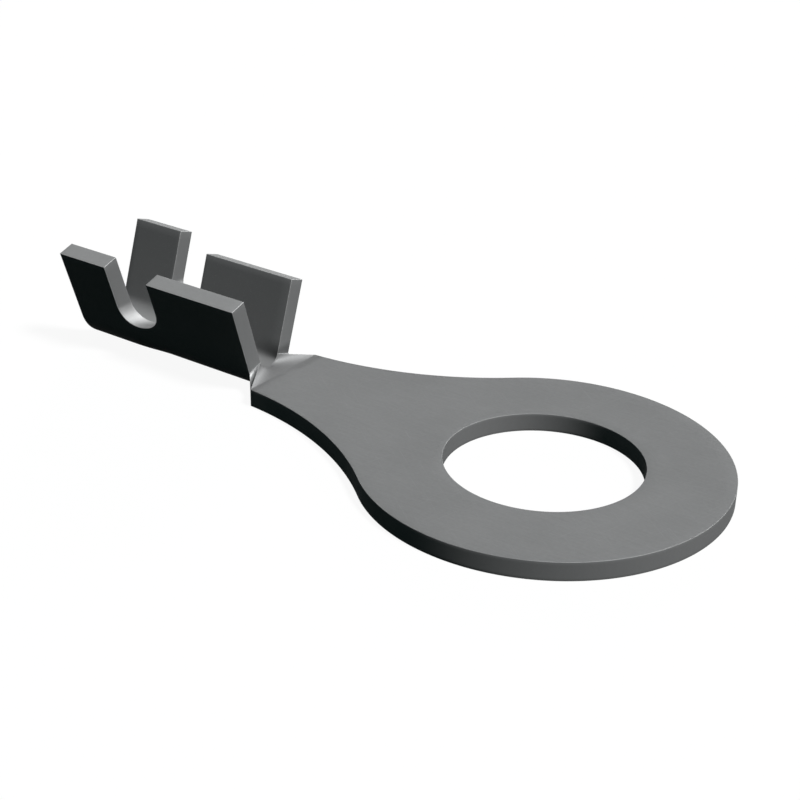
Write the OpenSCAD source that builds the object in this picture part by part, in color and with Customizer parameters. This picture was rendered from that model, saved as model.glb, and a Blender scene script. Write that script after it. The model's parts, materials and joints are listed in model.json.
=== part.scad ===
// Uninsulated ring terminal, pressed and folded from one strip of sheet metal.
// Origin: centre of the stud hole, on the underside of the ring.
// +X runs from the crimp barrel towards the ring, +Z out of the ring's upper face.
// Sizes are in millimetres, angles in degrees.

/* [Sheet] */
// Thickness of the strip
sheet_t = 0.83; // [0.5:0.01:1.2]

/* [Ring] */
// Diameter of the stud hole
hole_d = 8.4; // [3.2:0.1:10.5]
// Outside diameter of the ring
ring_d = 15.75; // [12:0.25:22]

/* [Tongue] */
// Distance from the ring's centre to the tongue's end
tongue_l = 13.75; // [12:0.05:20]
// Width of the tongue at its end
tongue_w = 4.7; // [3.8:0.1:6]
// Radius of the concave arcs that run from the tongue's end into the ring
sweep_r = 14.6; // [10:0.2:30]

/* [Neck] */
// Length over which the flat tongue turns into the round floor of the barrel
neck_l = 0.85; // [0.5:0.05:3]

/* [Wire grip] */
// Inside radius of the fold that holds the bare wire
wire_r = 0.64; // [0.4:0.01:0.9]
// Length of the wire grip along the barrel
wire_l = 5.15; // [3:0.05:8]
// Height of its wings over the underside
wire_h = 4.6; // [3.2:0.1:6]

/* [Jacket grip] */
// Inside radius of the fold that holds the insulated wire
jacket_r = 1.12; // [0.9:0.01:1.5]
// Length of the jacket grip along the barrel
jacket_l = 2.85; // [1.5:0.05:5]
// Height of its wings over the underside
jacket_h = 5.1; // [3.6:0.1:7]

/* [Wings] */
// Lean of every wing away from upright
wing_lean = 18; // [5:1:30]
// Width of the slot between the two pairs of wings
slot_w = 2.05; // [1:0.05:3]
// Height of the slot's round bottom over the underside
slot_z = 1.7; // [1.3:0.05:2.4]

/* [Hidden] */

// Facets of a full circle
round_fn = 144;
// Steps along a fold and along the neck where they are skinned
fold_steps = 24;
neck_steps = 8;
// How far joined stretches run into each other, and how far the inner one stays under the skin
lap = 0.1;
seam = 0.01;
// How far the tongue's arcs end inside the ring, so that the outline closes
bite = 0.002;
// Extra reach of a cutter past what it cuts
over = 1;

// Stations along the barrel, from the tongue back to the wire's entry
tongue_x = -tongue_l;
wire_front_x = tongue_x - neck_l;
wire_back_x = wire_front_x - wire_l;
jacket_front_x = wire_back_x - slot_w;
jacket_back_x = jacket_front_x - jacket_l;

// Where the grips give way to the folded sheet that bridges them, just inside the slot, how far its
// straight ends run into the grips, and the height of its walls, which the slot then cuts down
bridge_front_x = wire_back_x - lap;
bridge_back_x = jacket_front_x + lap;
bridge_end = 0.25;
bridge_h = min(wire_h, jacket_h) - lap;

// Centre of the arc that shapes the tongue's side. It touches the ring and passes the tongue's corner.
ring_r = ring_d / 2;
corner = [tongue_x, tongue_w / 2];
reach = norm(corner);
centre_dist = ring_r + sweep_r - bite;
along = (centre_dist * centre_dist - sweep_r * sweep_r + reach * reach) / (2 * reach);
aside = sqrt(centre_dist * centre_dist - along * along);
corner_dir = corner / reach;
sweep_c = along * corner_dir + aside * [corner_dir[1], -corner_dir[0]];
touch = sweep_c * ring_r / centre_dist;

// First and last angle of a fold, where it runs straight into the wings
fold_a0 = 180 + wing_lean;
fold_a1 = 360 - wing_lean;

// Straight length of a wing, from the fold to its top edge
function wing_l(r, h) =
    (h - sheet_t * sin(wing_lean) - (r + sheet_t) * (1 - sin(wing_lean))) / cos(wing_lean);

// Points of an arc about the fold's centre, which lies r + sheet_t over the underside
function fold_points(r, rad, a0, a1) =
    [for (i = [0:fold_steps])
        let (a = a0 + (a1 - a0) * i / fold_steps)
        [rad * cos(a), r + sheet_t + rad * sin(a)]];

// Point of a wing's top edge: side is -1 or 1, rad is the radius of the face that it ends
function wing_tip(r, h, rad, side) =
    [side * (rad * cos(wing_lean) + wing_l(r, h) * sin(wing_lean)),
     r + sheet_t - rad * sin(wing_lean) + wing_l(r, h) * cos(wing_lean)];

// Outline of the folded sheet, outer face first, lying just under the skin of a grip
function grip_ring(r, h) =
    let (outer = r + sheet_t - seam, inner = r + seam)
    concat(
        [wing_tip(r, h, outer, -1)],
        fold_points(r, outer, fold_a0, fold_a1),
        [wing_tip(r, h, outer, 1), wing_tip(r, h, inner, 1)],
        fold_points(r, inner, fold_a1, fold_a0),
        [wing_tip(r, h, inner, -1)]);

// Outline of the fold alone, without its wings
function fold_ring(r) =
    concat(
        fold_points(r, r + sheet_t - seam, fold_a0, fold_a1),
        fold_points(r, r + seam, fold_a1, fold_a0));

// The same outline laid out flat, as wide as the tongue's end
function flat_ring() =
    let (half = tongue_w / 2 - seam)
    concat(
        [for (i = [0:fold_steps]) [half * (2 * i / fold_steps - 1), seam]],
        [for (i = [0:fold_steps]) [half * (1 - 2 * i / fold_steps), sheet_t - seam]]);

// A ring of points stood across the barrel at station x
function at_x(x, ring) = [for (p = ring) [x, p[0], p[1]]];

function blend_rings(a, b, share) = [for (i = [0:len(a) - 1]) a[i] * (1 - share) + b[i] * share];

// Closed skin over rings of points that run along +X. Each ring goes out along one face of the
// sheet and back along the other, so its ends are closed by strips across the sheet.
module skin(rings) {
    count = len(rings[0]);
    last = len(rings) - 1;
    strips = [for (i = [0:count / 2 - 2]) [i, i + 1, count - 2 - i, count - 1 - i]];
    polyhedron(
        points = [for (ring = rings) each ring],
        faces = concat(
            strips,
            [for (k = [0:last - 1], i = [0:count - 1])
                let (j = (i + 1) % count)
                each [[k * count + i, (k + 1) * count + i, (k + 1) * count + j],
                      [k * count + i, (k + 1) * count + j, k * count + j]]],
            [for (strip = strips) [for (i = [3:-1:0]) last * count + strip[i]]]));
}

// Flat ring and tongue with the stud hole
module ring_plate() {
    linear_extrude(sheet_t)
        difference() {
            union() {
                circle(d = ring_d, $fn = round_fn);
                difference() {
                    polygon([
                        [tongue_x, -tongue_w / 2 - over],
                        [touch[0], -touch[1]],
                        [0, 0],
                        touch,
                        [tongue_x, tongue_w / 2 + over]]);
                    for (side = [-1, 1])
                        translate([sweep_c[0], side * sweep_c[1]])
                            circle(r = sweep_r, $fn = round_fn);
                }
            }
            circle(d = hole_d, $fn = round_fn);
        }
}

// Flat tongue turning into the fold of the wire grip
module neck() {
    skin(concat(
        [at_x(wire_front_x - lap, fold_ring(wire_r))],
        [for (k = [0:neck_steps])
            at_x(wire_front_x + neck_l * k / neck_steps,
                 blend_rings(fold_ring(wire_r), flat_ring(), k / neck_steps))],
        [at_x(tongue_x + lap, flat_ring())]));
}

// Region between the two leaning planes at distance rad from the fold's centre. Its lower corners
// lie where the planes run into the fold, and top says how it ends.
module wedge_section(rad, top) {
    foot = rad * [cos(wing_lean), -sin(wing_lean)];
    polygon(concat(
        [[-foot[0], foot[1]], foot],
        [for (p = top) foot + p],
        [for (i = [len(top) - 1:-1:0]) [-foot[0] - top[i][0], foot[1] + top[i][1]]]));
}

// Section across a grip: the fold and its two leaning wings, square at their top edges
module grip_section(r, h) {
    outer = r + sheet_t;
    up = [sin(wing_lean), cos(wing_lean)];
    inward = [-cos(wing_lean), sin(wing_lean)];
    wing_top = wing_l(r, h) * up;
    translate([0, outer])
        difference() {
            union() {
                circle(r = outer, $fn = round_fn);
                wedge_section(outer - bite, [wing_top, wing_top + (sheet_t + r / 2) * inward]);
            }
            union() {
                circle(r = r, $fn = round_fn);
                wedge_section(r - bite, [(wing_l(r, h) + over + r) * up]);
            }
        }
}

module grip(r, h, x0, x1) {
    translate([x0, 0, 0])
        rotate([90, 0, 90])
            linear_extrude(x1 - x0)
                grip_section(r, h);
}

// Folded sheet between the grips, where the narrow fold widens to the jacket's
module grip_bridge() {
    wire_ring = grip_ring(wire_r, bridge_h);
    jacket_ring = grip_ring(jacket_r, bridge_h);
    skin([
        at_x(bridge_back_x - bridge_end, jacket_ring),
        at_x(bridge_back_x, jacket_ring),
        at_x(bridge_front_x, wire_ring),
        at_x(bridge_front_x + bridge_end, wire_ring)]);
}

// Round-bottomed slot, cut straight across both walls
module slot() {
    tall = max(wire_h, jacket_h);
    wide = 2 * (max(wire_r, jacket_r) + sheet_t + tall);
    translate([(wire_back_x + jacket_front_x) / 2, 0, slot_z + slot_w / 2])
        rotate([90, 0, 0])
            linear_extrude(wide, center = true) {
                circle(d = slot_w, $fn = round_fn);
                translate([-slot_w / 2, 0])
                    square([slot_w, tall]);
            }
}

module ring_terminal() {
    color("#7f8181")
        union() {
            ring_plate();
            neck();
            difference() {
                union() {
                    grip(wire_r, wire_h, bridge_front_x, wire_front_x);
                    grip_bridge();
                    grip(jacket_r, jacket_h, jacket_back_x, bridge_back_x);
                }
                slot();
            }
        }
}

ring_terminal();
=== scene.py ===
"""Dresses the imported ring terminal: a fine skin of pressed sheet with rounded sheared edges, its dull
grey plating, a white floor, soft studio light and the photograph's camera. Lengths are in metres."""
import json
from collections import namedtuple
from math import atan2, cos, pi, radians, sin, sqrt, tan

import bmesh
import bpy
from mathutils import Matrix, Vector


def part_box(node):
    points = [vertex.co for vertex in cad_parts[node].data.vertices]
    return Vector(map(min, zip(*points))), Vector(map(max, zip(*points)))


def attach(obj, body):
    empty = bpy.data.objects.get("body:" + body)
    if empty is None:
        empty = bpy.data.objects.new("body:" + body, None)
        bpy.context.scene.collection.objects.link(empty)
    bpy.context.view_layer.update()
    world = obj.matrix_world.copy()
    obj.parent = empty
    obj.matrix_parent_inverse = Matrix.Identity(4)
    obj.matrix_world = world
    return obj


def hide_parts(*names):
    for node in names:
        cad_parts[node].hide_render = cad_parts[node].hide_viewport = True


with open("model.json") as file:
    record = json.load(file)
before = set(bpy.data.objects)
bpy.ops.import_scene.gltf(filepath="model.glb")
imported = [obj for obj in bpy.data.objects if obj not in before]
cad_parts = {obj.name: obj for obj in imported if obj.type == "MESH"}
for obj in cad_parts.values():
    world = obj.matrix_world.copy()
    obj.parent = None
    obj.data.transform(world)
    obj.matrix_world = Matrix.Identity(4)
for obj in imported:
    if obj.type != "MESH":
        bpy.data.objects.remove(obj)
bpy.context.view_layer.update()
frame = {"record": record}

PIECE = "ring_terminal"
MM = 0.001

_, node_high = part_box(PIECE)
mounts = {mount["name"]: mount for mount in frame["record"]["mounts"]}


def mount_size(name, size):
    """A size from a mount's record, which is in millimetres."""
    return mounts[name]["dims"][size] * MM


def grip_span(name):
    """Rear and front station of a grip, read from its mount."""
    middle, half = mounts[name]["pos_m"][0], mount_size(name, "length_mm") / 2
    return middle - half, middle + half


# Sheet, ring and tongue
SHEET_T = mount_size("stud_hole", "length_mm")
HOLE_R = mount_size("stud_hole", "r_mm")
RING_R = node_high.x
TONGUE_X = -13.75 * MM
TONGUE_W = 4.7 * MM
SWEEP_R = 14.6 * MM

# Barrel: two grips, the web of folded sheet between them, and how far each grip runs on under the
# slot that is cut down to the web
WIRE_R = mount_size("wire_grip", "r_mm")
JACKET_R = mount_size("jacket_grip", "r_mm")
WEB_FRONT_X, WIRE_FRONT_X = grip_span("wire_grip")
JACKET_BACK_X, WEB_BACK_X = grip_span("jacket_grip")
LAP = 0.1 * MM
SLOT_FRONT_X = WEB_FRONT_X + LAP
SLOT_BACK_X = WEB_BACK_X - LAP
SLOT_X = (SLOT_FRONT_X + SLOT_BACK_X) / 2
SLOT_R = (SLOT_FRONT_X - SLOT_BACK_X) / 2
SLOT_BOTTOM_Z = 1.7 * MM
SLOT_Z = SLOT_BOTTOM_Z + SLOT_R
WIRE_H = 4.6 * MM
JACKET_H = node_high.z

# Lean of the wings away from upright, the angle at which the fold starts, and how far it turns
LEAN = radians(18)
FOLD_START = pi + LEAN
FOLD_TURN = pi - 2 * LEAN

# Sheared edges: their rounding, its facets and its profile, where 0.5 is round, and the angle from
# which an edge counts as sheared
EDGE_R = 0.018 * MM
EDGE_SEGMENTS = 3
EDGE_PROFILE = 0.5
SHARP_ANGLE = radians(9)

# Steps of the skin's grids
FOLD_STEPS = 48
NECK_STEPS = 28
GRIP_STEPS = 8
WING_STEPS = 12
TIP_STEPS = 6
SLOT_STEPS = 2 * WING_STEPS
COLLAR_STEPS = 3
TONGUE_STEPS = 36
RING_STEPS = 168
RIM_STEPS = 6
EDGE_STEPS = 6

# Width of the collar that leads from the slot's round bottom to the straight grids round it, and the
# distance under which points are joined
COLLAR = 0.5 * MM
WELD = 0.00005 * MM

# The sheet's two faces in the barrel, as shares of its thickness beyond the inner one
OUTER = 1
INNER = 0
FACES = (OUTER, INNER)

# What each vertex stores, from 0 to 1: whether it lies on a rounded edge, how far the sheet is cut
# there, how far it is rubbed, how brightly it shines where it is rubbed, partly a painted highlight,
# the painted shade on the wings' inner faces, the painted light on the fold's floor where it faces up,
# and the painted shade in the barrel's corners, on the far wing's foot and across the tongue
WEAR_AND_PAINTED_LIGHT = ("edge", "cut", "rub", "shine", "dull", "swaged", "stain")

# How far a rounded edge counts as cut
ROUNDED_CUT = 0.5

# How far a spot's normal has to point some way for it to face that way, and to be a wing's top edge
FACING = 0.5
TOP_FACING = 0.7

# Neck, burnished by the forming tool, the brightness of its sheared sides partly a painted highlight:
# over what length that sets in at the barrel and fades out on the tongue, over which share of the
# neck's length it fades on the sheared sides, and how far a normal has to point up for it to be full
BARREL_FADE = 0.1 * MM
TONGUE_FADE = 0.3 * MM
SHEAR_FADE = 0.42
RUB_FULL_UP = 0.5

# Bottom of the slot, burnished by the punch: how near to its arc a spot of it lies, and over which
# share of its radius it turns bright
ARC_REACH = 0.05 * MM
SLOT_RUB_RAMP = 0.2

# How far handling has rubbed the wings' top edges and every rounded edge, and how brightly the
# barrel's cut and rounded edges then shine, against 1 on the neck's sheared sides; this brightness is
# partly a painted highlight
TIP_RUB = 0.4
EDGE_RUB = 0.9
CUT_SHINE = 0.33
EDGE_SHINE = 0.5

# Painted shade on the inner faces of the wings: how far a normal points inwards where it starts, and
# how much further where it is full
INNER_SHADE_FROM = 0.8
INNER_SHADE_RAMP = 0.15

# Painted light on the fold's floor where it faces up: how far a normal points up where it starts and
# how much further where it is full, and over what length it sets in behind the barrel's mouth
FOLD_LIGHT_FROM = 0.5
FOLD_LIGHT_RAMP = 0.4
FOLD_LIGHT_FADE = 2.0 * MM

# Painted shade in the corners inside the barrel's mouth: how far back it reaches, and between which
# heights it lies, with the lengths over which it sets in and fades out there
CORNER_SHADE_DEPTH = 1.5 * MM
CORNER_SHADE_LOW = 0.93 * MM
CORNER_SHADE_RISE = 0.22 * MM
CORNER_SHADE_HIGH = 1.95 * MM
CORNER_SHADE_FALL = 0.7 * MM

# Painted shade on the foot of the far wing's front edge: how strong it is, and the height where it
# ends, with the length over which it fades out there
END_SHADE = 0.5
END_SHADE_HIGH = 1.65 * MM
END_SHADE_FALL = 0.3 * MM

# Painted shade across the tongue's far half: how strong, how far forward of the neck it lies, how far
# it reaches to each side of that, and where it starts, with the length over which it sets in there
TONGUE_SHADE = 0.36
TONGUE_SHADE_FORWARD = 0.1 * MM
TONGUE_SHADE_REACH = 0.4 * MM
TONGUE_SHADE_START = 0.2 * MM
TONGUE_SHADE_RAMP = 0.6 * MM


def lerp(a, b, share):
    """Value at a share of the way from a to b."""
    return a + (b - a) * share


def ease(share):
    """Smooth ramp from 0 to 1."""
    share = min(max(share, 0), 1)
    return share * share * (3 - 2 * share)


def spread(start, end, steps):
    """Evenly spread values from start to end."""
    return [lerp(start, end, i / steps) for i in range(steps + 1)]


def fold_radius(x):
    """Inside radius of the fold at a station: the wire's in front, the jacket's behind the web."""
    return lerp(JACKET_R, WIRE_R, ease((x - WEB_BACK_X) / (WEB_FRONT_X - WEB_BACK_X)))


def fold_row(x, face):
    """Points across the fold at a station, on one of its faces."""
    r = fold_radius(x)
    rad = r + face * SHEET_T
    turns = spread(FOLD_START, FOLD_START + FOLD_TURN, FOLD_STEPS)
    return [(x, rad * cos(a), r + SHEET_T + rad * sin(a)) for a in turns]


def fold_end(x, face):
    """Side and height at which a face of the fold runs straight into the wing."""
    r = fold_radius(x)
    rad = r + face * SHEET_T
    return rad * cos(LEAN), r + SHEET_T - rad * sin(LEAN)


def wing_point(x, z, face):
    """Point of a wing's face at a station and a height."""
    y, z_end = fold_end(x, face)
    return (x, y + (z - z_end) * tan(LEAN), z)


def root_row(x, face):
    """Points up the lower part of a wing, from the fold's end to the height of the slot's centre."""
    return [wing_point(x, z, face) for z in spread(fold_end(x, face)[1], SLOT_Z, WING_STEPS)]


def tip_row(x, height, face):
    """Points up the upper part of a wing, whose top edge is square to the sheet."""
    top = height - face * SHEET_T * sin(LEAN)
    return [wing_point(x, z, face) for z in spread(SLOT_Z, top, TIP_STEPS)]


def collar_stations(side):
    """Stations from the slot's side out to the collar's border: side is 1 in front, -1 behind."""
    return spread(SLOT_X + side * SLOT_R, SLOT_X + side * (SLOT_R + COLLAR), COLLAR_STEPS)


def collar_ends():
    """Rear and front station of the collar's border."""
    return collar_stations(-1)[-1], collar_stations(1)[-1]


def slot_arc():
    """Points round the slot's bottom, from its rear side to its front side, seen from the side."""
    turns = spread(pi, 2 * pi, 2 * WING_STEPS + SLOT_STEPS)
    return [(SLOT_X + SLOT_R * cos(a), SLOT_Z + SLOT_R * sin(a)) for a in turns]


def collar_border(face):
    """The collar's border on a face: down its rear side, along the fold's end, up its front side."""
    back_x, front_x = collar_ends()
    down = [(x, z) for x, _, z in reversed(root_row(back_x, face))]
    below = [(x, fold_end(x, face)[1]) for x in spread(back_x, front_x, SLOT_STEPS)]
    up = [(x, z) for x, _, z in root_row(front_x, face)]
    return down + below[1:-1] + up


def collar_rows(face):
    """Rows of points on a wing, from the slot's round bottom out to the collar's border."""
    shares = spread(0, 1, COLLAR_STEPS)
    rows = []
    for (arc_x, arc_z), (border_x, border_z) in zip(slot_arc(), collar_border(face)):
        line = [(lerp(arc_x, border_x, s), lerp(arc_z, border_z, s)) for s in shares]
        rows.append([wing_point(x, z, face) for x, z in line])
    return rows


def neck_row(share, face):
    """Points across the neck, from the barrel's fold at share 0 to the flat tongue at share 1."""
    x = lerp(WIRE_FRONT_X, TONGUE_X, share)
    flat_z = SHEET_T * (1 - face)
    flat = spread(-TONGUE_W / 2, TONGUE_W / 2, FOLD_STEPS)
    return [
        (x, lerp(y, flat_y, share), lerp(z, flat_z, share))
        for (_, y, z), flat_y in zip(fold_row(WIRE_FRONT_X, face), flat)
    ]


def sweep_centre():
    """Centre of the arc that shapes the tongue's side: it passes the corner and touches the ring."""
    corner = Vector((TONGUE_X, TONGUE_W / 2))
    reach, centre_dist = corner.length, RING_R + SWEEP_R
    along = (centre_dist**2 - SWEEP_R**2 + reach**2) / (2 * reach)
    aside = sqrt(centre_dist**2 - along**2)
    return corner / reach * along + Vector((corner.y, -corner.x)) / reach * aside


def rim_angles():
    """Angles round the ring: its free front part, then the part behind the tongue's roots."""
    centre = sweep_centre()
    root = atan2(centre.y, centre.x)
    return spread(-root, root, RING_STEPS), spread(root, 2 * pi - root, FOLD_STEPS)


def tongue_rows():
    """Rows across the tongue from its end to the line between its roots, seen from above."""
    centre = sweep_centre()
    turn_end = atan2(-centre.y, -centre.x)
    turn_start = atan2(TONGUE_W / 2 - centre.y, TONGUE_X - centre.x)
    rows = []
    for a in spread(turn_start, turn_end, TONGUE_STEPS):
        x, half = centre.x + SWEEP_R * cos(a), centre.y + SWEEP_R * sin(a)
        rows.append([(x, y) for y in spread(-half, half, FOLD_STEPS)])
    return rows


def ring_rows():
    """Two grids of points from the rim to the hole: the ring's front, and its part at the tongue."""
    front, back = rim_angles()
    root_line = list(reversed(tongue_rows()[-1]))
    rim = [(RING_R * cos(a), RING_R * sin(a)) for a in front]
    grids = []
    for angles, outside in ((front, rim), (back, root_line)):
        inside = [(HOLE_R * cos(a), HOLE_R * sin(a)) for a in angles]
        grids.append([
            [(lerp(ax, bx, s), lerp(ay, by, s)) for s in spread(0, 1, RIM_STEPS)]
            for (ax, ay), (bx, by) in zip(outside, inside)
        ])
    return grids


def add_grid(mesh, rows, mirror=False, is_cut=False):
    """Adds a grid of quads and, if asked, its mirror image across the terminal's middle plane."""
    cut = mesh.faces.layers.int["cut"]
    for side in (1, -1) if mirror else (1,):
        points = [[mesh.verts.new((x, side * y, z)) for x, y, z in row] for row in rows]
        for near, far in zip(points, points[1:]):
            for i in range(len(near) - 1):
                face = mesh.faces.new((near[i], near[i + 1], far[i + 1], far[i]))
                face[cut] = int(is_cut)


def add_edge(mesh, outer, inner, mirror=False):
    """Adds the cut edge of the sheet, between a line on one of its faces and one on the other."""
    rows = [
        [tuple(lerp(a, b, share) for a, b in zip(*ends)) for ends in zip(outer, inner)]
        for share in spread(0, 1, EDGE_STEPS)
    ]
    add_grid(mesh, rows, mirror, is_cut=True)


def add_grip_wings(mesh, end_x, side, height):
    """Both wings of a grip, from its end to the slot: their faces and the cut edges round them."""
    collar = collar_stations(side)
    root_stations = spread(end_x, collar[-1], GRIP_STEPS)
    tip_stations = root_stations + collar[-2::-1]
    for face in FACES:
        add_grid(mesh, [root_row(x, face) for x in root_stations], mirror=True)
        add_grid(mesh, [tip_row(x, height, face) for x in tip_stations], mirror=True)
    tops = [[tip_row(x, height, face)[-1] for x in tip_stations] for face in FACES]
    add_edge(mesh, *tops, mirror=True)
    add_edge(mesh, *[root_row(end_x, face) for face in FACES], mirror=True)
    for x in (end_x, collar[0]):
        add_edge(mesh, *[tip_row(x, height, face) for face in FACES], mirror=True)


def add_barrel(mesh):
    """Both faces and all cut edges of the folded barrel."""
    back_x, front_x = collar_ends()
    fold_stations = (
        spread(JACKET_BACK_X, back_x, GRIP_STEPS)
        + spread(back_x, front_x, SLOT_STEPS)[1:]
        + spread(front_x, WIRE_FRONT_X, GRIP_STEPS)[1:]
    )
    for face in FACES:
        add_grid(mesh, [fold_row(x, face) for x in fold_stations])
        add_grid(mesh, collar_rows(face), mirror=True)
    add_grip_wings(mesh, JACKET_BACK_X, -1, JACKET_H)
    add_grip_wings(mesh, WIRE_FRONT_X, 1, WIRE_H)
    add_edge(mesh, *[fold_row(JACKET_BACK_X, face) for face in FACES])
    add_edge(mesh, *[[row[0] for row in collar_rows(face)] for face in FACES], mirror=True)


def add_neck(mesh):
    """Both faces and both side edges of the neck."""
    shares = spread(0, 1, NECK_STEPS)
    faces = [[neck_row(share, face) for share in shares] for face in FACES]
    for rows in faces:
        add_grid(mesh, rows)
    for end in (0, -1):
        add_edge(mesh, *[[row[end] for row in rows] for rows in faces])


def add_plate(mesh):
    """Both faces of the ring and tongue, their outer wall and the wall of the hole."""
    levels = (0, SHEET_T)
    tongue = tongue_rows()
    front, back = ring_rows()
    for z in levels:
        for rows in (tongue, front, back):
            add_grid(mesh, [[(x, y, z) for x, y in row] for row in rows])
    sides = [[row[end] for row in tongue] for end in (0, -1)]
    rim = [row[0] for row in front]
    hole = [[row[-1] for row in rows] for rows in (front, back)]
    for line in sides + [rim] + hole:
        add_edge(mesh, *[[(x, y, z) for x, y in line] for z in levels])


# What the wear and the painted light and shade at a vertex depend on: its place, its normal, and
# whether the sheet is cut there
Spot = namedtuple("Spot", ("place", "normal", "is_cut"))


def facing_in(spot):
    """How far a spot of a wing looks towards the other wing."""
    return -spot.normal.y if spot.place.y > 0 else spot.normal.y


def neck_rub(spot):
    """How far the forming tool has burnished the neck: its upper side and its sheared sides."""
    ahead = spot.place.x - WIRE_FRONT_X
    rub = ease(spot.normal.z / RUB_FULL_UP) * ease(ahead / BARREL_FADE)
    if spot.is_cut:
        return rub * ease(1 - ahead / (TONGUE_X - WIRE_FRONT_X) / SHEAR_FADE)
    return rub * ease(1 - (spot.place.x - TONGUE_X) / TONGUE_FADE)


def slot_rub(spot):
    """How far the punch has burnished the slot: its round bottom."""
    off = Vector((spot.place.x - SLOT_X, spot.place.z - SLOT_Z))
    on_arc = off.y <= 0 and abs(off.length - SLOT_R) <= ARC_REACH
    if not on_arc or abs(spot.normal.y) > FACING:
        return 0
    return ease(-off.y / SLOT_R / SLOT_RUB_RAMP)


def tip_rub(spot):
    """How far handling has burnished a wing: its top edge."""
    height = JACKET_H if spot.place.x < SLOT_X else WIRE_H
    is_high = spot.place.x < WIRE_FRONT_X and spot.place.z > height - SHEET_T / 2
    return TIP_RUB * (is_high and spot.normal.z > TOP_FACING)


def shine_and_highlight_at(spot, on_edge):
    """How brightly the metal shines where it is rubbed, partly as a painted highlight."""
    if spot.place.x > WIRE_FRONT_X:
        return float(spot.is_cut)
    return CUT_SHINE * spot.is_cut + EDGE_SHINE * on_edge


def painted_inner_shade(spot):
    """Painted shade: how much darker the plating is on the inner faces of the wings."""
    return (spot.place.x < WIRE_FRONT_X) * ease((facing_in(spot) - INNER_SHADE_FROM) / INNER_SHADE_RAMP)


def painted_fold_light(spot):
    """Painted light: how much lighter the fold's floor is where it faces up, less so towards its mouth.
    """
    behind_mouth = ease((WIRE_FRONT_X - spot.place.x) / FOLD_LIGHT_FADE)
    return (not spot.is_cut) * behind_mouth * ease((spot.normal.z - FOLD_LIGHT_FROM) / FOLD_LIGHT_RAMP)


def painted_corner_shade(spot):
    """Painted shade inside the barrel's mouth: how much darker the foot of each wing is."""
    depth = (WIRE_FRONT_X - spot.place.x) / CORNER_SHADE_DEPTH
    if spot.is_cut or not 0 <= depth < 1 or facing_in(spot) < FACING:
        return 0
    above_floor = ease((spot.place.z - CORNER_SHADE_LOW) / CORNER_SHADE_RISE)
    return (1 - depth) * above_floor * ease((CORNER_SHADE_HIGH - spot.place.z) / CORNER_SHADE_FALL)


def painted_end_shade(spot):
    """Painted shade: how much darker the foot of the far wing's front edge is."""
    on_end = WIRE_FRONT_X - EDGE_R < spot.place.x < WIRE_FRONT_X + WELD
    if not on_end or spot.place.y < 0 or spot.normal.x < FACING:
        return 0
    return END_SHADE * ease((END_SHADE_HIGH - spot.place.z) / END_SHADE_FALL)


def painted_tongue_shade(spot):
    """Painted shade: how much darker the tongue is in a band across its far half, along the neck."""
    if spot.is_cut or spot.normal.z < FACING:
        return 0
    off = abs(spot.place.x - TONGUE_X - TONGUE_SHADE_FORWARD) / TONGUE_SHADE_REACH
    return TONGUE_SHADE * ease(1 - off) * ease((spot.place.y - TONGUE_SHADE_START) / TONGUE_SHADE_RAMP)


def mark_wear_and_painted_light(mesh, rounded):
    """Stores the wear and the painted light and shade on every vertex. rounded holds the faces of the
    rounded edges.
    """
    cut_face = mesh.faces.layers.int["cut"]
    edge, cut, rub, shine, dull, swaged, stain = (mesh.verts.layers.float.new(name) for name in WEAR_AND_PAINTED_LIGHT)
    mesh.normal_update()
    for vert in mesh.verts:
        flat = [face for face in vert.link_faces if face not in rounded]
        spot = Spot(vert.co, vert.normal, any(face[cut_face] for face in flat))
        vert[edge] = float(not flat)
        vert[cut] = float(spot.is_cut) if flat else ROUNDED_CUT
        vert[shine] = shine_and_highlight_at(spot, vert[edge])
        vert[dull] = painted_inner_shade(spot)
        vert[swaged] = painted_fold_light(spot)
        vert[stain] = max(painted_corner_shade(spot), painted_end_shade(spot), painted_tongue_shade(spot))
        rubbed = max(neck_rub(spot), slot_rub(spot), tip_rub(spot), EDGE_RUB * vert[edge])
        # Rubbed metal is lessened where shade is painted
        vert[rub] = rubbed * (1 - vert[stain])


def place_mesh(name, mesh):
    """A new object in the scene, made of a bmesh, which is used up."""
    data = bpy.data.meshes.new(name)
    mesh.to_mesh(data)
    mesh.free()
    made = bpy.data.objects.new(name, data)
    bpy.context.scene.collection.objects.link(made)
    return made


def build_terminal():
    """The terminal's skin: grids joined along their borders, with its sheared edges rounded."""
    mesh = bmesh.new()
    mesh.faces.layers.int.new("cut")
    add_barrel(mesh)
    add_neck(mesh)
    add_plate(mesh)
    bmesh.ops.remove_doubles(mesh, verts=mesh.verts, dist=WELD)
    bmesh.ops.recalc_face_normals(mesh, faces=mesh.faces)
    sharp = [e for e in mesh.edges if e.is_manifold and e.calc_face_angle() > SHARP_ANGLE]
    made = bmesh.ops.bevel(
        mesh, geom=sharp, offset=EDGE_R, offset_type="OFFSET", segments=EDGE_SEGMENTS,
        profile=EDGE_PROFILE, affect="EDGES", clamp_overlap=True,
    )
    mark_wear_and_painted_light(mesh, set(made["faces"]))
    for face in mesh.faces:
        face.smooth = True
    piece = place_mesh(PIECE + "_skin", mesh)
    normals = piece.modifiers.new("flats", "WEIGHTED_NORMAL")
    normals.keep_sharp = True
    return piece


def add_node(tree, kind, inputs=None, **settings):
    """A node with its settings, and with values or other nodes' outputs on its inputs."""
    made = tree.nodes.new(kind)
    for name, value in settings.items():
        setattr(made, name, value)
    for name, value in (inputs or {}).items():
        if isinstance(value, bpy.types.NodeSocket):
            tree.links.new(value, made.inputs[name])
        else:
            made.inputs[name].default_value = value
    return made


def new_tree(block):
    """The emptied node tree of a material or world."""
    block.use_nodes = True
    block.node_tree.nodes.clear()
    return block.node_tree


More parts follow.
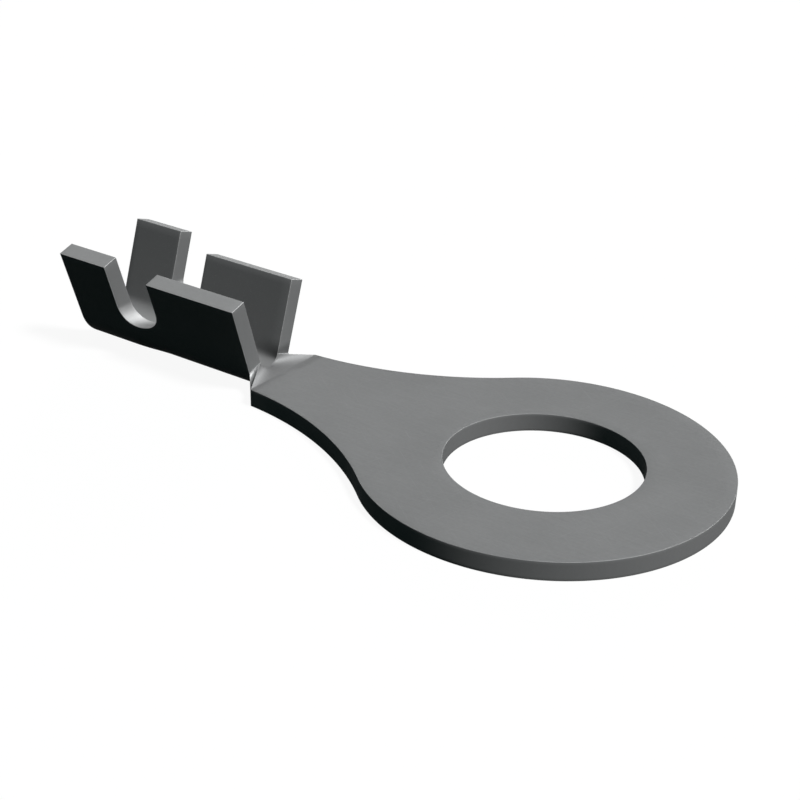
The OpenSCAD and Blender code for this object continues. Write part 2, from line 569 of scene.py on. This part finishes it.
def grey(value):
    """A grey as a colour socket takes it."""
    return (value, value, value, 1)


def noise(tree, place, stretch, turn=0.0, detail=2.0):
    """Noise from 0 to 1. turn is the direction in degrees that it runs in, seen from above, and
    stretch gives how often it varies per millimetre along that direction, across it and upwards."""
    period = [MM / value for value in stretch]
    mapped = add_node(tree, "ShaderNodeMapping", {
        "Vector": place, "Rotation": (0, 0, radians(turn)), "Scale": period,
    }, vector_type="TEXTURE").outputs[0]
    return add_node(tree, "ShaderNodeTexNoise", {
        "Vector": mapped, "Scale": 1.0, "Detail": detail,
    }).outputs[0]


def ramp(tree, value, span, ends=(0.0, 1.0)):
    """Runs from the first of the ends to the second while the value crosses the span."""
    return add_node(tree, "ShaderNodeMapRange", {
        "Value": value, "From Min": span[0], "From Max": span[1],
        "To Min": ends[0], "To Max": ends[1],
    }).outputs[0]


def calculate(tree, operation, a, b):
    """Result of a calculation with two values."""
    return add_node(tree, "ShaderNodeMath", {0: a, 1: b}, operation=operation).outputs[0]


# The Mix node's sockets go by number here, because its value and colour sockets share their names
def mix_value(tree, share, a, b):
    """Value at a share of the way from a to b."""
    return add_node(tree, "ShaderNodeMix", {0: share, 2: a, 3: b}, data_type="FLOAT").outputs[0]


def mix_colour(tree, share, a, b):
    """Colour at a share of the way from a to b."""
    return add_node(tree, "ShaderNodeMix", {0: share, 6: a, 7: b}, data_type="RGBA").outputs[2]


def attribute(tree, name):
    """A value that the vertices store."""
    return add_node(tree, "ShaderNodeAttribute", attribute_name=name).outputs["Fac"]


# Linear colours of the plating: the dark and light of its grain, how it looks where it is cut and
# worn, its painted shade on the wings' inner faces, its painted light on the fold's floor, and its
# painted shade in the barrel's corners, on the far wing's foot and across the tongue
DARK_PLATING = (0.192, 0.193, 0.194, 1)
LIGHT_PLATING = (0.228, 0.229, 0.230, 1)
CUT_METAL = (0.205, 0.208, 0.209, 1)
WORN_METAL = (0.28, 0.284, 0.285, 1)
INNER_SHADE_PLATING = (0.150, 0.152, 0.153, 1)
FOLD_LIGHT_PLATING = (0.262, 0.266, 0.267, 1)
SHADED_PLATING = (0.045, 0.046, 0.046, 1)

# Linear colours of rubbed metal, where it shines least and most, the brighter one partly a painted
# highlight
RUBBED_METAL = (0.174, 0.177, 0.178, 1)
BRIGHT_METAL = (0.640, 0.646, 0.647, 1)

# How often the patterns vary per millimetre: the rolling grain, the striae of the cut edges, the
# specks, which have finer detail than the others, and the clouds
GRAIN_STRETCH = (1.2, 15, 15)
CUT_STRETCH = (9, 9, 1.5)
SPECK_STRETCH = (7, 7, 7)
SPECK_DETAIL = 4.0
CLOUD_STRETCH = (0.3, 0.3, 0.3)

# Scratches: their directions in degrees, how often they vary per millimetre, their detail, and the
# crests of the noise that show
SCRATCH_TURNS = (17, 74, -38)
SCRATCH_STRETCH = (0.35, 26, 26)
SCRATCH_DETAIL = 1.0
SCRATCH_CRESTS = (0.69, 0.75)

# Shares of the specks and then of the clouds in the plating's tone, the span of noise from dark to
# light, and how strongly scratches and cut edges show
SPECK_SHARE = 0.5
CLOUD_SHARE = 0.4
NOISE_SPAN = (0.3, 0.7)
SCRATCH_SHARE = 0.22
CUT_SHARE = 0.5

# Rounded edges: the span of the specks over which their wear grows, and how strong it is at both ends
WEAR_SPECKS = (0.25, 0.65)
WEAR_SHARES = (0.3, 0.8)

# How strongly a rub shows where the grain is dark and where it is light
RUB_SHARES = (0.8, 1.0)

# Surface: roughness of the plating where its tone is dark and where it is light, and of rubbed metal,
# how metallic both are, the plating's gloss, and the height of its grain with the specks' share in it
PLATING_ROUGHNESS = (0.37, 0.47)
RUBBED_ROUGHNESS = 0.68
METALNESS = 0.003
RUBBED_METALNESS = 1.0
GLOSS = 0.0004
GRAIN_HEIGHT = 0.0006 * MM
SPECK_HEIGHT_SHARE = 0.35


def scratches(tree, place):
    """Fine handling marks in three directions: thin crests of long drawn noise, 0 to 1."""
    marks = None
    for turn in SCRATCH_TURNS:
        lines = noise(tree, place, SCRATCH_STRETCH, turn, SCRATCH_DETAIL)
        lines = ramp(tree, lines, SCRATCH_CRESTS)
        marks = lines if marks is None else calculate(tree, "MAXIMUM", marks, lines)
    return marks


def plating_material():
    """Dull tin plating with a rolling grain, plain cut edges, bright rubbed places that are partly a
    painted highlight, and painted shade and light in places.
    """
    material = bpy.data.materials.new("dull_plating")
    tree = new_tree(material)
    place = add_node(tree, "ShaderNodeTexCoord").outputs["Object"]
    edge, cut, rub, shine, dull, swaged, stain = (attribute(tree, name) for name in WEAR_AND_PAINTED_LIGHT)
    rolling = noise(tree, place, GRAIN_STRETCH)
    striae = noise(tree, place, CUT_STRETCH)
    speck = noise(tree, place, SPECK_STRETCH, detail=SPECK_DETAIL)
    cloud = noise(tree, place, CLOUD_STRETCH)

    grain = mix_value(tree, cut, rolling, striae)
    tone = mix_value(tree, CLOUD_SHARE, mix_value(tree, SPECK_SHARE, grain, speck), cloud)
    scratched = calculate(tree, "MULTIPLY", scratches(tree, place), SCRATCH_SHARE)
    bare = calculate(tree, "MULTIPLY", cut, CUT_SHARE)
    worn = calculate(tree, "MULTIPLY", edge, ramp(tree, speck, WEAR_SPECKS, WEAR_SHARES))
    rubbed = calculate(tree, "MULTIPLY", rub, ramp(tree, grain, NOISE_SPAN, RUB_SHARES))

    colour = mix_colour(tree, ramp(tree, tone, NOISE_SPAN), DARK_PLATING, LIGHT_PLATING)
    # Besides wear and cut metal, this lays on painted shade on the wings' inner faces, painted light on
    # the fold's floor, painted shade in the corners, on the far wing's foot and across the tongue, and
    # rubbed metal whose brightness is partly a painted highlight
    for share, look in (
        (dull, INNER_SHADE_PLATING),
        (swaged, FOLD_LIGHT_PLATING),
        (scratched, WORN_METAL),
        (bare, CUT_METAL),
        (stain, SHADED_PLATING),
        (worn, WORN_METAL),
        (rubbed, mix_colour(tree, shine, RUBBED_METAL, BRIGHT_METAL)),
    ):
        colour = mix_colour(tree, share, colour, look)

    metalness = mix_value(tree, rubbed, METALNESS, RUBBED_METALNESS)
    plating_roughness = ramp(tree, tone, NOISE_SPAN, PLATING_ROUGHNESS)
    roughness = mix_value(tree, rubbed, plating_roughness, RUBBED_ROUGHNESS)
    height = mix_value(tree, SPECK_HEIGHT_SHARE, grain, speck)
    bump = add_node(tree, "ShaderNodeBump", {
        "Height": height, "Strength": 1.0, "Distance": GRAIN_HEIGHT,
    }).outputs[0]
    shader = add_node(tree, "ShaderNodeBsdfPrincipled", {
        "Base Color": colour, "Metallic": metalness, "Roughness": roughness,
        "Specular IOR Level": GLOSS, "Normal": bump,
    }).outputs[0]
    add_node(tree, "ShaderNodeOutputMaterial", {"Surface": shader})
    return material


def is_seen(tree):
    """1 for the rays that should meet a white background: the camera's, mirrored and refracted."""
    path = add_node(tree, "ShaderNodeLightPath").outputs
    either = calculate(tree, "MAXIMUM", path["Is Camera Ray"], path["Is Glossy Ray"])
    return calculate(tree, "MAXIMUM", either, path["Is Transmission Ray"])


# Floor: the share of real light in its white, the grey that it throws back on the terminal, half its
# width, and how far it lies under the terminal
FLOOR_SHADOW = 0.07
FLOOR_BOUNCE = 0.006
FLOOR_HALF = 2.0
FLOOR_GAP = 0.01 * MM


def floor_material():
    """White wherever it is seen, with a share of real light so that the shadow stays."""
    material = bpy.data.materials.new("white_floor")
    tree = new_tree(material)
    glow = add_node(tree, "ShaderNodeEmission", {"Color": grey(1)}).outputs[0]
    lit = add_node(tree, "ShaderNodeBsdfDiffuse", {"Color": grey(1)}).outputs[0]
    seen = add_node(tree, "ShaderNodeMixShader", {0: FLOOR_SHADOW, 1: glow, 2: lit}).outputs[0]
    unseen = add_node(tree, "ShaderNodeBsdfDiffuse", {"Color": grey(FLOOR_BOUNCE)}).outputs[0]
    surface = add_node(tree, "ShaderNodeMixShader", {0: is_seen(tree), 1: unseen, 2: seen})
    add_node(tree, "ShaderNodeOutputMaterial", {"Surface": surface.outputs[0]})
    return material


def add_floor():
    """The plain floor that the terminal lies on."""
    mesh = bmesh.new()
    bmesh.ops.create_grid(mesh, x_segments=1, y_segments=1, size=FLOOR_HALF)
    floor = place_mesh("floor", mesh)
    floor.location.z = -FLOOR_GAP
    floor.data.materials.append(floor_material())


# Faint even light from all round: its strength and its linear colour
AMBIENT = 0.05
AMBIENT_TINT = (0.6, 1.0, 1.0, 1)


def add_world():
    """White to the rays that see it, and a faint even light to the rest."""
    world = bpy.data.worlds.new("studio")
    bpy.context.scene.world = world
    tree = new_tree(world)
    faint = add_node(tree, "ShaderNodeBackground", {"Color": AMBIENT_TINT, "Strength": AMBIENT})
    white = add_node(tree, "ShaderNodeBackground", {"Color": grey(1), "Strength": 1.0})
    light = add_node(tree, "ShaderNodeMixShader", {
        0: is_seen(tree), 1: faint.outputs[0], 2: white.outputs[0],
    }).outputs[0]
    add_node(tree, "ShaderNodeOutputWorld", {"Surface": light})


# Lamps: a key for the upper faces, a glint that only shiny metal mirrors, and a fill for the far
# side, each with the direction that it shines from, its strength, and how wide it looks, in degrees
KEY_DIRECTION = (0.56, -0.02, 0.83)
KEY_STRENGTH = 3.6
KEY_WIDTH = 12
GLINT_DIRECTION = (0.22, 0.74, 0.64)
GLINT_STRENGTH = 2.3
GLINT_WIDTH = 12
FILL_DIRECTION = (-0.38, 0.92, 0.12)
FILL_STRENGTH = 1.6
FILL_WIDTH = 30


def add_sun(name, towards, strength, width, diffuse=True, glossy=True):
    """A broad distant lamp. diffuse and glossy say whether it lights matt and shiny surfaces."""
    lamp = bpy.data.lights.new(name, "SUN")
    lamp.energy = strength
    lamp.angle = radians(width)
    sun = bpy.data.objects.new(name, lamp)
    sun.rotation_mode = "QUATERNION"
    sun.rotation_quaternion = Vector(towards).to_track_quat("Z", "Y")
    sun.visible_diffuse = diffuse
    sun.visible_glossy = glossy
    bpy.context.scene.collection.objects.link(sun)


# The photograph's camera: the turn, dip and roll of its view, its distance, how far its axis passes
# to the right of the hole's centre and above it, its lens and sensor in millimetres, and the nearest
# and farthest that it sees
VIEW_TURN = radians(34.447)
VIEW_ELEVATION = radians(26.380)
VIEW_ROLL = radians(1.574)
VIEW_DISTANCE = 65.468 * MM
VIEW_RIGHT = -5.939 * MM
VIEW_UP = 2.470 * MM
LENS = 71.526
SENSOR = 36.0
NEAREST = 1.0 * MM
FARTHEST = 10.0


def add_camera():
    """The camera, placed from the centre of the hole's upper rim."""
    ahead = Vector((-sin(VIEW_TURN), cos(VIEW_TURN), 0)) * cos(VIEW_ELEVATION)
    ahead.z = -sin(VIEW_ELEVATION)
    level = Vector((cos(VIEW_TURN), sin(VIEW_TURN), 0))
    upright = level.cross(ahead)
    right = level * cos(VIEW_ROLL) + upright * sin(VIEW_ROLL)
    up = right.cross(ahead)
    aim = Vector((0, 0, SHEET_T))
    place = aim + right * VIEW_RIGHT + up * VIEW_UP - ahead * VIEW_DISTANCE
    data = bpy.data.cameras.new("camera")
    data.lens = LENS
    data.sensor_width = SENSOR
    data.clip_start = NEAREST
    data.clip_end = FARTHEST
    camera = bpy.data.objects.new("camera", data)
    bpy.context.scene.collection.objects.link(camera)
    axes = Matrix((right, up, -ahead)).transposed().to_4x4()
    camera.matrix_world = Matrix.Translation(place) @ axes
    bpy.context.scene.camera = camera


terminal = build_terminal()
terminal.data.materials.append(plating_material())
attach(terminal, "root")
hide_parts(PIECE)
add_floor()
add_world()
add_sun("key", KEY_DIRECTION, KEY_STRENGTH, KEY_WIDTH)
add_sun("glint", GLINT_DIRECTION, GLINT_STRENGTH, GLINT_WIDTH, diffuse=False)
add_sun("fill", FILL_DIRECTION, FILL_STRENGTH, FILL_WIDTH, glossy=False)
add_camera()
bpy.context.scene.view_settings.view_transform = "Standard"
